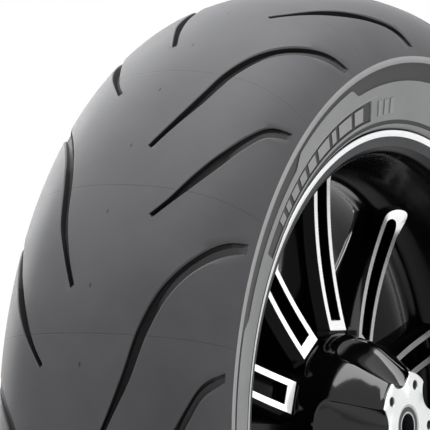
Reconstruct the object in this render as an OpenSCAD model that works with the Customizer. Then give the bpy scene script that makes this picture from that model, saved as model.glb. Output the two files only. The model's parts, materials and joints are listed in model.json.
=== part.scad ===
// Motorcycle rear tire fitted on its ten-spoke cast wheel, with bearings and valve.
// Frame: origin at the wheel's centre, +Y along the axle, +Z up. The brake side is -Y.
// Angles are counted from +X towards +Z. All sizes are in millimetres.

/* [Tire] */
// Outer radius at the middle of the tread
crown_radius = 320.2; // [310:1:335]
// Radius of the crown's flat middle arc, seen in cross-section
mid_arc_radius = 165; // [150:5:180]
// Angle where the middle arc runs into the shoulder arc
mid_arc_angle = 17.6; // [14:0.2:20]
// Radius of the shoulder arc
shoulder_radius = 69; // [64:1:74]
// Angle where the shoulder ends in the sidewall's ridge
shoulder_end_angle = 70; // [67:1:72]
// Half width of the tire at the ridge, measured on the sidewall face
ridge_half_width = 94; // [93.9:0.1:95]
// Thickness of the tread cap, which is the depth of the grooves
cap_thickness = 6.8; // [5:0.2:8]
// Thickness of the base rubber under the cap
base_thickness = 2; // [1.5:0.5:3]
// Thickness of each belt ply
belt_thickness = 1.2; // [0.8:0.2:1.6]
// Thickness of the carcass ply
ply_thickness = 1.2; // [0.8:0.2:1.6]
// Thickness of the airtight inner liner
liner_thickness = 1.4; // [1:0.2:2]

/* [Tread grooves] */
// How many times the groove pattern repeats around the tire
pitch_count = 9; // [6:1:12]
// Angle of the first long groove's tip
first_tip_angle = 140.9; // [100:0.1:180]

/* [Bead] */
// Width of the square bead core
core_size = 7; // [6:0.5:8]
// Rubber and ply between the bead core and the rim's seat
core_to_seat = 4.1; // [3.8:0.1:5]
// Rubber and ply between the bead core and the rim's flange
core_to_flange = 4; // [3.6:0.1:5]

/* [Rim] */
// Radius of the bead seat
seat_radius = 202.8; // [202:0.2:204]
// Width between the flanges
rim_width = 127; // [120:1:130]
// Height of the flange above the bead seat
flange_height = 14; // [13:0.5:15]
// Axial thickness of each flange with its rolled lip
flange_thickness = 11.9; // [10:0.1:13]
// Outer radius of the well between the bead seats
well_radius = 189; // [188:0.5:192]
// Inner radius of the ring that the spokes run into
window_radius = 183; // [180:0.5:184]

/* [Spokes] */
// Number of spokes
spoke_count = 10; // [6:2:12]
// Angle of the first spoke
spoke_angle = 90; // [0:1:180]
// Width of the machined face of a spoke
spoke_face_width = 24.8; // [20:0.2:28]
// Width of the spoke's body below its chamfers
spoke_body_width = 37; // [30:1:40]
// Width of each machined border beside the pocket
spoke_border = 5.5; // [4:0.5:7]
// Length of the plate that closes the pocket at the hub
spoke_inner_plate = 8.5; // [6:0.5:12]
// Depth of the pocket below the machined face
pocket_depth = 8; // [5:0.5:10]
// Half depth of the spoke at its thinnest place
spoke_half_depth = 13.4; // [12:0.2:16]
// Radius where the spoke is thinnest
spoke_waist_radius = 168; // [160:1:175]
// Half depth of the spoke where it leaves the hub
spoke_root_half_depth = 27; // [24:0.5:30]

/* [Hub] */
// Half width of the hub between its two bolt faces
hub_half_width = 86; // [80:1:90]
// Outer radius of the bolt face
hub_face_radius = 40; // [39:0.5:43]
// Outer radius of the hub's flared middle, where the spokes start
hub_flare_radius = 68; // [64:1:72]
// Half width of the flared middle
hub_flare_half_width = 31; // [30:0.5:34]
// Radius of each flute that leaves the five lobes
flute_radius = 14.6; // [12:0.2:15]
// Distance of the flutes' centres from the axle, at the bolt face
flute_centre_radius = 48.5; // [48:0.5:51]
// Angle at which the flutes lean away from the axle as they run back from the bolt face
flute_tilt = 39.5; // [36:0.5:42]
// Length of each flute from the bolt face, along its own axis
flute_length = 54; // [45:1:56]
// Number of bolt holes in each face
bolt_count = 5; // [3:1:6]
// Radius of the circle that the brake disc's bolt holes lie on
bolt_circle_radius = 31.6; // [31:0.1:33]
// Radius of each of the brake disc's bolt holes before tapping
bolt_hole_radius = 3.4; // [3:0.1:4]
// Radius of the circle that the pulley's bolt holes lie on
pulley_circle_radius = 33; // [32:0.2:34]
// Radius of each of the pulley's bolt holes before tapping
pulley_hole_radius = 4.25; // [4:0.05:4.6]
// Depth of each bolt hole
bolt_hole_depth = 22; // [15:1:26]
// Angle of the first bolt hole
bolt_angle = 72; // [0:1:90]
// Radius of the cored space inside the hub
hub_core_radius = 24; // [18:0.5:25]

/* [Wheel bearings] */
// Radius of the axle's bore
axle_radius = 9.525; // [8:0.025:10]
// Outer radius of the bearing
bearing_radius = 16; // [15.5:0.1:17]
// Width of the bearing
bearing_width = 12; // [10:0.5:14]
// How far the bearing sits below the bolt face
bearing_recess = 0.8; // [0.5:0.1:2]
// Radial thickness of the inner ring
inner_ring_wall = 1.4; // [1.2:0.05:1.6]
// Radial thickness of the outer ring
outer_ring_wall = 1.6; // [1.4:0.05:1.8]
// Number of balls in each bearing
ball_count = 14; // [10:1:14]
// Radius of each ball
ball_radius = 2.05; // [2:0.01:2.1]
// Gap between a ball and its races
ball_clearance = 0.04; // [0.02:0.01:0.06]

/* [Valve] */
// Angle of the valve, in a gap between two spokes
valve_angle = -72; // [-108:36:-72]
// Radius of the hole in the rim that holds the valve's rubber
valve_hole_radius = 5.7; // [5:0.1:6]
// Radius of the valve's brass stem
stem_radius = 4; // [3.5:0.1:4.2]
// Length of the valve from the rim's inner face to the stem's mouth
valve_length = 34; // [30:1:40]
// Radius of the cap
cap_radius = 5.3; // [5:0.1:6]

/* [Hidden] */
$fn = 96;

half_rim = rim_width / 2;
lip_half = half_rim + flange_thickness;
flange_radius = seat_radius + flange_height;
half_face = spoke_face_width / 2;
half_body = spoke_body_width / 2;
half_pocket = half_face - spoke_border;

// centres of the two crown arcs
mid_centre = crown_radius - mid_arc_radius;
shoulder_centre = mid_centre + (mid_arc_radius - shoulder_radius) * cos(mid_arc_angle);
shoulder_offset = (mid_arc_radius - shoulder_radius) * sin(mid_arc_angle);
mid_arc_length = mid_arc_radius * mid_arc_angle * PI / 180;

// depths of the tire's layers below the tread surface
base_depth = cap_thickness;
belt_outer_depth = base_depth + base_thickness;
belt_inner_depth = belt_outer_depth + belt_thickness;
ply_depth = belt_inner_depth + belt_thickness;
liner_depth = ply_depth + ply_thickness;
cavity_depth = liner_depth + liner_thickness;
crown_steps = 12;
belt_steps = 9;
side_steps = 8;
filler_steps = 4;

// corners of the square bead core, as [radius, half width]
core_bottom = seat_radius + core_to_seat;
core_top = core_bottom + core_size;
core_out = half_rim - core_to_flange;
core_in = core_out - core_size;
turn_up_share = 0.7;

// groove outlines as [angle from the tip, arc length from the middle of the tread]
long_groove = [
    [-29.9, -106.5], [-28.6, -88.8], [-25.4, -71.1], [-21.4, -55.8], [-16.2, -42.9], [-9.9, -35.2],
    [-3.5, -23.5], [-0.1, -13.7],
    [0.3, -16.4], [-3.5, -27.6], [-9.9, -42], [-16.2, -51.1], [-21, -64.1], [-24.6, -81.7],
    [-26.9, -99.4], [-27.8, -106.5]
];
short_groove = [
    [-20.6, -106.5], [-19.1, -92.3], [-16.3, -81.8], [-10.3, -66.8], [-3, -45.5], [0.1, -32.3],
    [0.4, -35], [-3, -50.5], [-8.7, -69.1], [-12.9, -80.5], [-16.3, -90.8], [-18.7, -106.5]
];

function flip(points) = [for (p = points) [p[0], -p[1]]];
function backwards(points) = [for (i = [len(points) - 1:-1:0]) points[i]];

// a point of the crown at an angle of its arcs and a depth below the surface
function crown_point(angle, depth) =
    abs(angle) <= mid_arc_angle
    ? [mid_centre + (mid_arc_radius - depth) * cos(angle), (mid_arc_radius - depth) * sin(angle)]
    : [shoulder_centre + (shoulder_radius - depth) * cos(angle),
       sign(angle) * (shoulder_offset + (shoulder_radius - depth) * sin(abs(angle)))];

// angle of the crown's arcs at an arc length from the middle
function crown_angle(s) =
    abs(s) <= mid_arc_length
    ? s / mid_arc_radius * 180 / PI
    : sign(s) * (mid_arc_angle + (abs(s) - mid_arc_length) / shoulder_radius * 180 / PI);

function crown_line(depth, first, last) =
    [for (i = [first:last]) crown_point(i * shoulder_end_angle / crown_steps, depth)];

function bezier(p0, p1, p2, p3, t) =
    pow(1 - t, 3) * p0 + 3 * t * pow(1 - t, 2) * p1 + 3 * t * t * (1 - t) * p2 + pow(t, 3) * p3;

// a point of the sidewall's inner layers, from the shoulder (0) to beside the bead core (1)
function side_point(depth, half_width_at_core, t) =
    let (start = crown_point(shoulder_end_angle, depth),
         end = [core_top, half_width_at_core],
         leave = [-sin(shoulder_end_angle), cos(shoulder_end_angle)] * 22,
         arrive = [cos(40), sin(40)] * 16)
    bezier(start, start + leave, end + arrive, end, t);

function side_line(depth, half_width_at_core, first, last) =
    [for (i = [first:last]) side_point(depth, half_width_at_core, i / side_steps)];

// one closed layer between two depths of the crown
module crown_layer(from_depth, to_depth, steps) {
    around_axle() polygon(concat(
        crown_line(from_depth, -steps, steps), backwards(crown_line(to_depth, -steps, steps))));
}

// turns a profile drawn as [radius, half width] around the axle; positive widths lie on the brake side
module around_axle() {
    rotate([90, 0, 0]) rotate_extrude() children();
}

module on_side(side) {
    if (side == "left") children();
    if (side == "right") mirror([0, 1, 0]) children();
}

module at_angle(angle) {
    rotate([0, -angle, 0]) children();
}

// a slot that stands on a groove's outline and points away from the axle
module groove_slot(outline, tip_angle, side) {
    middle = (outline[0][0] + outline[len(outline) - 1][0]) / 4;
    at_angle(tip_angle + middle)
        translate([seat_radius + 30, 0, 0])
            rotate([90, 0, 90])
                linear_extrude(crown_radius - seat_radius)
                    polygon([for (p = outline)
                        let (c = crown_point(crown_angle(p[1]), 0))
                        [side * c[1], c[0] * sin(p[0] - middle)]]);
}

module tread_cap() {
    color("dimgray") difference() {
        crown_layer(0, base_depth, crown_steps);
        for (i = [0:pitch_count - 1]) {
            pitch = i * 360 / pitch_count + first_tip_angle;
            half_pitch = 180 / pitch_count;
            groove_slot(long_groove, pitch, 1);
            groove_slot(short_groove, pitch + half_pitch / 2, 1);
            groove_slot(long_groove, pitch + half_pitch, -1);
            groove_slot(short_groove, pitch + half_pitch * 3 / 2, -1);
        }
    }
}

module tread_base() {
    color("dimgray") crown_layer(base_depth, belt_outer_depth, crown_steps);
}

module belt_outer() {
    color("goldenrod") crown_layer(belt_outer_depth, belt_inner_depth, belt_steps);
}

module belt_inner() {
    color("darkgoldenrod") crown_layer(belt_inner_depth, ply_depth, belt_steps);
}

// the ply runs from bead to bead and turns up around each core
filler_tip = side_point(ply_depth, core_in, filler_steps / side_steps);
turn_up_inner = [core_top, core_out] * (1 - turn_up_share) + filler_tip * turn_up_share;
turn_up_outer = turn_up_inner + [-0.5, 0.9] * ply_thickness;
ply_outside = concat(
    side_line(ply_depth, core_in, 0, side_steps),
    [[core_bottom, core_in], [core_bottom, core_out], [core_top, core_out], turn_up_inner]);
ply_inside = concat(
    side_line(liner_depth, core_in - ply_thickness, 0, side_steps),
    [[core_bottom - ply_thickness, core_in - ply_thickness],
     [core_bottom - ply_thickness, core_out + ply_thickness],
     [core_top, core_out + ply_thickness], turn_up_outer]);
function inner_crown(depth) = crown_line(depth, 1 - crown_steps, crown_steps - 1);
function without_ends(points) = [for (i = [1:len(points) - 2]) points[i]];

// a closed layer between two lines that both run from bead to bead
module bead_to_bead(outside, outside_depth, inside, inside_depth) {
    around_axle() polygon(concat(
        backwards(flip(outside)), inner_crown(outside_depth), outside,
        backwards(inside), backwards(inner_crown(inside_depth)), flip(inside)));
}

module carcass_ply() {
    color("wheat") bead_to_bead(ply_outside, ply_depth, ply_inside, liner_depth);
}

module inner_liner() {
    color("darkslategray") bead_to_bead(
        side_line(liner_depth, core_in - ply_thickness, 0, side_steps), liner_depth,
        side_line(cavity_depth, core_in - ply_thickness - liner_thickness, 0, side_steps), cavity_depth);
}

// points where the tire's bead bears on the rim, from toe to lip
toe_half = core_in - ply_thickness - 3.2;
seat_contact = [[seat_radius, toe_half], [seat_radius, half_rim]];
flange_contact = [
    [seat_radius + 6.2, half_rim], [seat_radius + 10.7, half_rim + 2.5],
    [flange_radius - 0.4, half_rim + 6.5]
];

module bead_core(side) {
    color("silver") on_side(side) around_axle()
        polygon([[core_bottom, core_in], [core_top, core_in], [core_top, core_out], [core_bottom, core_out]]);
}

module bead_filler(side) {
    color("saddlebrown") on_side(side) around_axle() polygon(concat(
        side_line(ply_depth, core_in, filler_steps, side_steps), [[core_top, core_out]]));
}

// rim strip of hard rubber under and beside the turned-up ply
module chafer(side) {
    color("black") on_side(side) around_axle() polygon(concat(
        [[core_top, core_in - ply_thickness - liner_thickness]],
        seat_contact, flange_contact,
        [[flange_radius + 1.2, half_rim + 6.5], [core_top, core_out + ply_thickness],
         [core_bottom - ply_thickness, core_out + ply_thickness],
         [core_bottom - ply_thickness, core_in - ply_thickness],
         [core_top, core_in - ply_thickness]]));
}

module sidewall(side) {
    shoulder = crown_point(shoulder_end_angle, 0);
    color("gray") on_side(side) around_axle() polygon(concat(
        crown_line(belt_outer_depth, belt_steps, crown_steps),
        [shoulder, [shoulder[0] - 2.3, ridge_half_width + 0.3], [shoulder[0] - 4.7, ridge_half_width - 0.1],
         [253.5, 89.8], [240, 85.4], [224.5, 79.9], [221.3, 78.7], [219, 76.4],
         [flange_radius + 1.2, half_rim + 6.5], [core_top, core_out + ply_thickness],
         turn_up_outer, turn_up_inner],
        backwards(side_line(ply_depth, core_in, 1, filler_steps)),
        backwards(crown_line(ply_depth, belt_steps, crown_steps))));
}

// outer and inner contour of half the rim, as [radius, half width]
rim_inside = [
    [window_radius, 6], [window_radius + 1.2, 8.5], [window_radius + 4.5, 11.5], [window_radius + 8, 15.5],
    [window_radius + 11, 22], [window_radius + 12.6, 30], [window_radius + 13.6, 40], [window_radius + 14.2, 52],
    [seat_radius - 4.6, lip_half - 13.4], [seat_radius - 2, lip_half - 7.4], [seat_radius + 2.3, lip_half - 3.8]
];
rim_lip = [
    [flange_radius - 4.7, lip_half - 1.1], [flange_radius, lip_half], [flange_radius, half_rim + 9]
];
rim_outside = [
    [seat_radius, toe_half], [seat_radius, 38], [seat_radius - 1.8, 32], [well_radius + 8.5, 18],
    [well_radius, 8]
];

module rim() {
    half = concat(rim_inside, rim_lip, backwards(flange_contact), [[seat_radius, half_rim]], rim_outside);
    color("black") difference() {
        around_axle() polygon(concat(half, backwards(flip(half))));
        at_angle(valve_angle) translate([window_radius - 5, 0, 0]) rotate([0, 90, 0])
            cylinder(r = valve_hole_radius, h = well_radius - window_radius + 10);
    }
}

// half depth of a spoke at a radius, and its fillet into the rim
function spoke_half_depth_at(r) = spoke_half_depth
    + (spoke_root_half_depth - spoke_half_depth)
    * pow((spoke_waist_radius - r) / (spoke_waist_radius - hub_flare_radius), 2);
fillet_radius = 18;
fillet_centre = spoke_waist_radius + 10;
function spoke_face(sink) = concat(
    [for (r = [hub_flare_radius - 6:10:spoke_waist_radius]) [r, spoke_half_depth_at(r) - sink]],
    [for (a = [-90:18:0])
        [fillet_centre + (fillet_radius + sink) * cos(a),
         spoke_half_depth + fillet_radius + (fillet_radius + sink) * sin(a)]]);

// the space a spoke may fill: between hub and rim, and between its two turned faces
module spoke_zone(sink) {
    face = concat(spoke_face(sink), [[window_radius + 25, spoke_half_depth + fillet_radius]]);
    around_axle() polygon(concat(face, backwards(flip(face))));
}

module hub_outline(core) {
    half = [
        [hub_core_radius, 0], [hub_core_radius, hub_half_width - bearing_width - bearing_recess - 6],
        [core, hub_half_width - bearing_width - bearing_recess - 3], [core, hub_half_width],
        [hub_face_radius, hub_half_width], [hub_face_radius + 1, hub_half_width - 4],
        [hub_face_radius + 9.3, hub_half_width - 15.3], [hub_face_radius + 17.8, hub_half_width - 27],
        [hub_flare_radius - 4, hub_flare_half_width + 13],
        [hub_flare_radius, hub_flare_half_width - 3], [hub_flare_radius, 0]
    ];
    around_axle() polygon(concat(backwards(half), without_ends(flip(half))));
}

module rim_outline() {
    half = concat([[window_radius, 0]], rim_inside, [[flange_radius + 5, lip_half - 3.8], [flange_radius + 5, 0]]);
    around_axle() polygon(concat(half, backwards(without_ends(flip(half)))));
}

// one spoke: a chamfered bar with a pocket in each turned face
module spoke_bar() {
    chamfer_top = spoke_half_depth - 0.4;
    chamfer_foot = spoke_half_depth - 7.4;
    half = [[half_body, chamfer_foot], [half_face, chamfer_top], [half_face, spoke_half_depth + 30]];
    translate([hub_flare_radius - 5, 0, 0]) rotate([90, 0, 90])
        linear_extrude(window_radius - hub_flare_radius + 17)
            polygon(concat(
                [for (p = half) [-p[1], p[0]]], backwards([for (p = half) [-p[1], -p[0]]]),
                [for (p = half) [p[1], -p[0]]], backwards([for (p = half) [p[1], p[0]]])));
}

module spoke_pocket() {
    length = window_radius + 3 - half_pocket - (hub_flare_radius + spoke_inner_plate);
    intersection() {
        translate([hub_flare_radius + spoke_inner_plate, 0, 0]) rotate([90, 0, 0])
            linear_extrude(2 * hub_half_width, center = true) union() {
                translate([0, -half_pocket]) square([length, 2 * half_pocket]);
                translate([length, 0]) circle(half_pocket);
            }
        difference() {
            spoke_zone(-1);
            spoke_zone(pocket_depth);
        }
    }
}

module spokes() {
    color("black") for (i = [0:spoke_count - 1]) {
        at_angle(spoke_angle + i * 360 / spoke_count) difference() {
            intersection() {
                spoke_bar();
                spoke_zone(0);
            }
            spoke_pocket();
            rim_outline();
            rotate([90, 0, 0]) cylinder(r = hub_flare_radius, h = 4 * hub_flare_half_width, center = true);
        }
    }
}

module bolt_holes(side, circle_radius, hole_radius) {
    for (i = [0:bolt_count - 1])
        at_angle(bolt_angle + i * 360 / bolt_count)
            translate([circle_radius, side * hub_half_width, 0]) rotate([90, 0, 0])
                cylinder(r = hole_radius, h = 2 * bolt_hole_depth, center = true);
}

// the flutes lie between the bolt holes and lean outwards
module flutes(side) {
    for (i = [0:bolt_count - 1])
        at_angle(bolt_angle + (i + 0.5) * 360 / bolt_count)
            translate([flute_centre_radius, side * hub_half_width, 0])
                rotate([0, 0, side * flute_tilt]) rotate([90, 0, 0])
                    cylinder(r = flute_radius, h = 2 * flute_length, center = true);
}

module hub() {
    color("silver") difference() {
        hub_outline(bearing_radius - 2);
        for (side = [-1, 1]) {
            // bearing seat
            translate([0, side * hub_half_width, 0]) rotate([90, 0, 0])
                cylinder(r = bearing_radius, h = 2 * (bearing_width + bearing_recess), center = true);
            flutes(side);
        }
        bolt_holes(-1, bolt_circle_radius, bolt_hole_radius);
        bolt_holes(1, pulley_circle_radius, pulley_hole_radius);
    }
}

// bearing pieces are drawn around the middle of the left bearing
bearing_middle = hub_half_width - bearing_recess - bearing_width / 2;
inner_ring_radius = axle_radius + inner_ring_wall;
outer_ring_bore = bearing_radius - outer_ring_wall;
ball_circle = (inner_ring_radius + outer_ring_bore) / 2;
race_radius = ball_radius + ball_clearance;
seal_thickness = 1;
seal_gap = 0.3;
cage_half_width = ball_radius + 1;
cage_wall = 1.9;
pocket_gap = 0.1;

module in_bearing(side) {
    on_side(side) translate([0, -bearing_middle, 0]) children();
}

module race_groove() {
    around_axle() translate([ball_circle, 0]) circle(race_radius, $fn = 48);
}

module ring(inner, outer, width) {
    around_axle() translate([inner, -width / 2]) square([outer - inner, width]);
}

module bearing_outer(side) {
    color("lightgray") in_bearing(side) difference() {
        ring(outer_ring_bore, bearing_radius, bearing_width);
        race_groove();
    }
}

module bearing_inner(side) {
    color("whitesmoke") in_bearing(side) difference() {
        ring(axle_radius, inner_ring_radius, bearing_width);
        race_groove();
    }
}

module ball_places() {
    for (i = [0:ball_count - 1])
        at_angle(i * 360 / ball_count) translate([ball_circle, 0, 0]) children();
}

module bearing_balls(side) {
    color("white") in_bearing(side) ball_places() sphere(ball_radius, $fn = 32);
}

module bearing_cage(side) {
    color("peru") in_bearing(side) difference() {
        ring(ball_circle - cage_wall / 2, ball_circle + cage_wall / 2, 2 * cage_half_width);
        ball_places() rotate([0, 90, 0]) cylinder(r = ball_radius + pocket_gap, h = 2 * cage_wall, center = true);
    }
}

module bearing_seals(side) {
    color("black") in_bearing(side) for (face = [-1, 1])
        translate([0, face * (bearing_width - seal_thickness) / 2, 0])
            ring(inner_ring_radius + seal_gap, outer_ring_bore, seal_thickness);
}

module spacer_tube() {
    color("gray") ring(axle_radius + 0.2, inner_ring_radius, 2 * (bearing_middle - bearing_width / 2));
}

// valve pieces are drawn along +Z with the rim's inner face at zero, then pointed at the axle
stem_mouth = valve_length;
stem_bore = 2.4;
core_bore = 1.1;
pin_radius = 0.9;
thread_gap = 0.3;
core_length = 14;
pin_travel = 1.5;

module on_valve() {
    at_angle(valve_angle) translate([window_radius, 0, 0]) rotate([0, -90, 0]) children();
}

module valve_base() {
    bore = stem_radius;
    wall = well_radius - window_radius;
    color("black") on_valve() rotate_extrude() polygon([
        [bore, -wall - 4], [6, -wall - 4], [8, -wall - 2.5], [8, -wall - 0.4],
        [valve_hole_radius, -wall - 0.4], [valve_hole_radius, 0.6], [7.6, 0.6], [7.6, 3],
        [6.2, 9], [5.4, 20], [bore, 21]
    ]);
}

module valve_stem() {
    color("goldenrod") on_valve() difference() {
        translate([0, 0, -6]) cylinder(r = stem_radius, h = stem_mouth + 6);
        translate([0, 0, -7]) cylinder(r = stem_bore, h = stem_mouth + 8);
    }
}

module valve_core() {
    color("khaki") on_valve() difference() {
        translate([0, 0, stem_mouth - core_length - 1]) cylinder(r = stem_bore, h = core_length);
        translate([0, 0, stem_mouth - core_length - 2]) cylinder(r = core_bore, h = core_length + 2);
    }
}

module valve_pin() {
    color("gold") on_valve() union() {
        translate([0, 0, stem_mouth - core_length - 3]) cylinder(r = pin_radius, h = core_length + 2.5);
        translate([0, 0, stem_mouth - core_length - 3]) cylinder(r = stem_bore - thread_gap, h = 1.7);
    }
}

module valve_cap() {
    depth = 9;
    color("black") on_valve() difference() {
        union() {
            translate([0, 0, stem_mouth - depth]) cylinder(r = cap_radius, h = depth + 1.5);
            translate([0, 0, stem_mouth + 1.5]) cylinder(r1 = cap_radius, r2 = cap_radius - 1, h = 1);
            for (i = [0:11])
                rotate(i * 30) translate([cap_radius, 0, stem_mouth - depth + 0.6]) cylinder(r = 0.45, h = depth);
        }
        translate([0, 0, stem_mouth - depth - 1]) cylinder(r = stem_radius + thread_gap, h = depth + 1.3);
    }
}

tread_cap();
tread_base();
belt_outer();
belt_inner();
carcass_ply();
inner_liner();
sidewall("left");  // sidewall_left
sidewall("right");  // sidewall_right
chafer("left");  // chafer_left
chafer("right");  // chafer_right
bead_core("left");  // bead_core_left
bead_core("right");  // bead_core_right
bead_filler("left");  // bead_filler_left
bead_filler("right");  // bead_filler_right
rim();
spokes();
hub();
bearing_outer("left");  // bearing_outer_left
bearing_outer("right");  // bearing_outer_right
bearing_inner("left");  // bearing_inner_left
bearing_inner("right");  // bearing_inner_right
bearing_balls("left");  // bearing_balls_left
bearing_balls("right");  // bearing_balls_right
bearing_cage("left");  // bearing_cage_left
bearing_cage("right");  // bearing_cage_right
bearing_seals("left");  // bearing_seals_left
bearing_seals("right");  // bearing_seals_right
spacer_tube();
valve_base();
valve_stem();
valve_core();
valve_pin();
valve_cap();
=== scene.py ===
import json
import math

import bmesh
import bpy
import numpy as np
from mathutils import Matrix, Vector
from mathutils.geometry import delaunay_2d_cdt


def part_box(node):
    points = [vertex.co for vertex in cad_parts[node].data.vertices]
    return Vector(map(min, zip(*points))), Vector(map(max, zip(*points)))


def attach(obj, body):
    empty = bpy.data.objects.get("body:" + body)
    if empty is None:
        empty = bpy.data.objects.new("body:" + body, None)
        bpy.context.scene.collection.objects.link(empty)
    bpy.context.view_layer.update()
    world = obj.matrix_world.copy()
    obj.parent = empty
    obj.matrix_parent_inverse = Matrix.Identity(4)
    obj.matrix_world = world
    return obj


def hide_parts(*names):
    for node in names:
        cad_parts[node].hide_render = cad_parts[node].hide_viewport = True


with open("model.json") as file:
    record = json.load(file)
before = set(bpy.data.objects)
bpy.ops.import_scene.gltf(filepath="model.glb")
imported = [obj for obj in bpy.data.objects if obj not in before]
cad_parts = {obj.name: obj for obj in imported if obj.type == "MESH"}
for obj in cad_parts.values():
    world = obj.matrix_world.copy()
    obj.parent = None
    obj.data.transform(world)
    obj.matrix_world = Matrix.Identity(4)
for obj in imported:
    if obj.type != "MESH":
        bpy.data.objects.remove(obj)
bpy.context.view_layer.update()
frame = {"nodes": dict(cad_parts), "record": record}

# Rear motorcycle tire on its cast wheel. The axle is the Y axis and the brake side is -Y.
# Shapes are worked out in millimetres, with angles in degrees from +X towards +Z, and stored in metres.
mm = 0.001
tiny = 1e-9
mergeDistance = 0.01 * mm
smallestFace = 0.002 * mm
crownRadius = -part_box("tread_cap")[0][0] / mm
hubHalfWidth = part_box("hub")[1][1] / mm
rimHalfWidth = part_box("rim")[1][1] / mm
wheelBody = "wheel"


# camera, lamps and floor

camera = {"azimuth": -59.521, "elevation": -0.318, "distance": 3.74808, "lens": 424.71,
          "right": -0.0675, "up": 0.1547, "sensor": 36, "farClip": 60}


def placeCamera():
    turn, lift = math.radians(camera["azimuth"]), math.radians(camera["elevation"])
    back = Vector((math.sin(turn) * math.cos(lift), -math.cos(turn) * math.cos(lift), math.sin(lift)))
    right = Vector((math.cos(turn), math.sin(turn), 0))
    up = back.cross(right)
    data = bpy.data.cameras.new("camera")
    data.lens = camera["lens"]
    data.sensor_width = camera["sensor"]
    data.clip_end = camera["farClip"]
    item = bpy.data.objects.new("camera", data)
    bpy.context.collection.objects.link(item)
    place = back * camera["distance"] + right * camera["right"] + up * camera["up"]
    item.matrix_world = Matrix.Translation(place) @ Matrix((right, up, back)).transposed().to_4x4()
    bpy.context.scene.camera = item


def srgb(text):
    parts = [int(text[i:i + 2], 16) / 255 for i in (1, 3, 5)]
    return [c / 12.92 if c <= 0.04045 else ((c + 0.055) / 1.055) ** 2.4 for c in parts] + [1]


def addNode(tree, kind, inputs=None, **settings):
    node = tree.nodes.new(kind)
    for key, value in settings.items():
        setattr(node, key, value)
    for key, value in (inputs or {}).items():
        if isinstance(value, bpy.types.NodeSocket):
            tree.links.new(value, node.inputs[key])
        else:
            node.inputs[key].default_value = value
    return node


lamps = {
    "topLamp": {"place": (-0.1, -0.3, 2.6), "size": (2.8, 2.4), "power": 140},
    "rearLamp": {"place": (1.1, 2.4, 2.0), "size": (1.8, 1.6), "power": 46},
    "leftLamp": {"place": (0.7, 2.7, 1.0), "size": (1.0, 1.4), "power": 50},
    "fillLamp": {"place": (-1.7, 1.7, 2.4), "size": (1.2, 1.2), "power": 62},
    "frontLamp": {"place": (0.5, -2.7, 2.0), "size": (1.0, 0.8), "power": 14},
    "frontStrip": {"place": (-0.1, -2.7, 1.2), "size": (0.06, 1.8), "power": 6},
    "sideStrip": {"place": (1.3, -2.2, 0.7), "size": (0.06, 1.8), "power": 9},
}
surround = {"light": 0.05, "floorReach": 2.6, "shadowReach": 0.75, "whiteReach": 1.5}


def lightScene():
    for name, lamp in lamps.items():
        data = bpy.data.lights.new(name, "AREA")
        data.shape = "RECTANGLE"
        data.size, data.size_y = lamp["size"]
        data.energy = lamp["power"]
        item = bpy.data.objects.new(name, data)
        bpy.context.collection.objects.link(item)
        item.location = lamp["place"]
        item.rotation_euler = (-Vector(lamp["place"])).to_track_quat("-Z", "Y").to_euler()
    world = bpy.data.worlds.new("studio")
    bpy.context.scene.world = world
    world.use_nodes = True
    tree = world.node_tree
    tree.nodes.clear()
    rays = addNode(tree, "ShaderNodeLightPath").outputs
    # the camera and reflections see plain white, and the rest of the scene gets only a little light from it
    seen = addNode(tree, "ShaderNodeMath", {0: rays["Is Camera Ray"], 1: rays["Is Glossy Ray"]},
                   operation="MAXIMUM").outputs[0]
    seen = addNode(tree, "ShaderNodeMath", {0: seen, 1: rays["Is Transmission Ray"]},
                   operation="MAXIMUM").outputs[0]
    level = addNode(tree, "ShaderNodeMapRange",
                    {"Value": seen, "To Min": surround["light"], "To Max": 1.0}).outputs[0]
    sky = addNode(tree, "ShaderNodeBackground", {"Color": srgb("#ffffff"), "Strength": level})
    addNode(tree, "ShaderNodeOutputWorld", {"Surface": sky.outputs[0]})
    bpy.context.scene.view_settings.view_transform = "Standard"


def layFloor():
    reach, level = surround["floorReach"], -crownRadius * mm
    corners = [(-reach, -reach, level), (reach, -reach, level), (reach, reach, level), (-reach, reach, level)]
    mesh = bpy.data.meshes.new("floor")
    mesh.from_pydata(corners, [], [(0, 1, 2, 3)])
    # matt white paper that takes the shadow near the wheel and fades into the background further out
    material = bpy.data.materials.new("whitePaper")
    material.use_nodes = True
    tree = material.node_tree
    tree.nodes.clear()
    paper = addNode(tree, "ShaderNodeBsdfPrincipled",
                    {"Base Color": srgb("#cfcfcf"), "Roughness": 0.8}).outputs[0]
    white = addNode(tree, "ShaderNodeEmission", {"Color": srgb("#ffffff"), "Strength": 1.0}).outputs[0]
    place = addNode(tree, "ShaderNodeTexCoord").outputs["Object"]
    flat = addNode(tree, "ShaderNodeVectorMath", {0: place, 1: (1, 1, 0)}, operation="MULTIPLY").outputs[0]
    away = addNode(tree, "ShaderNodeVectorMath", {0: flat}, operation="LENGTH").outputs["Value"]
    fade = addNode(tree, "ShaderNodeMapRange",
                   {"Value": away, "From Min": surround["shadowReach"], "From Max": surround["whiteReach"]},
                   interpolation_type="SMOOTHSTEP").outputs[0]
    rays = addNode(tree, "ShaderNodeLightPath").outputs
    seen = addNode(tree, "ShaderNodeMath", {0: rays["Is Camera Ray"], 1: fade},
                   operation="MULTIPLY").outputs[0]
    both = addNode(tree, "ShaderNodeMixShader", {0: seen, 1: paper, 2: white}).outputs[0]
    addNode(tree, "ShaderNodeOutputMaterial", {"Surface": both})
    mesh.materials.append(material)
    item = bpy.data.objects.new("floor", mesh)
    bpy.context.collection.objects.link(item)


placeCamera()
lightScene()
layFloor()
print("camera, lamps and floor are in place")


# materials

# parts of a noise texture's range, so that the tone has clear spots and the gloss a softer drift
toneSpan = {"From Min": 0.35, "From Max": 0.65}
glossSpan = {"From Min": 0.3, "From Max": 0.7}
rubberIor, paintIor = 1.52, 1.5


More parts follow.
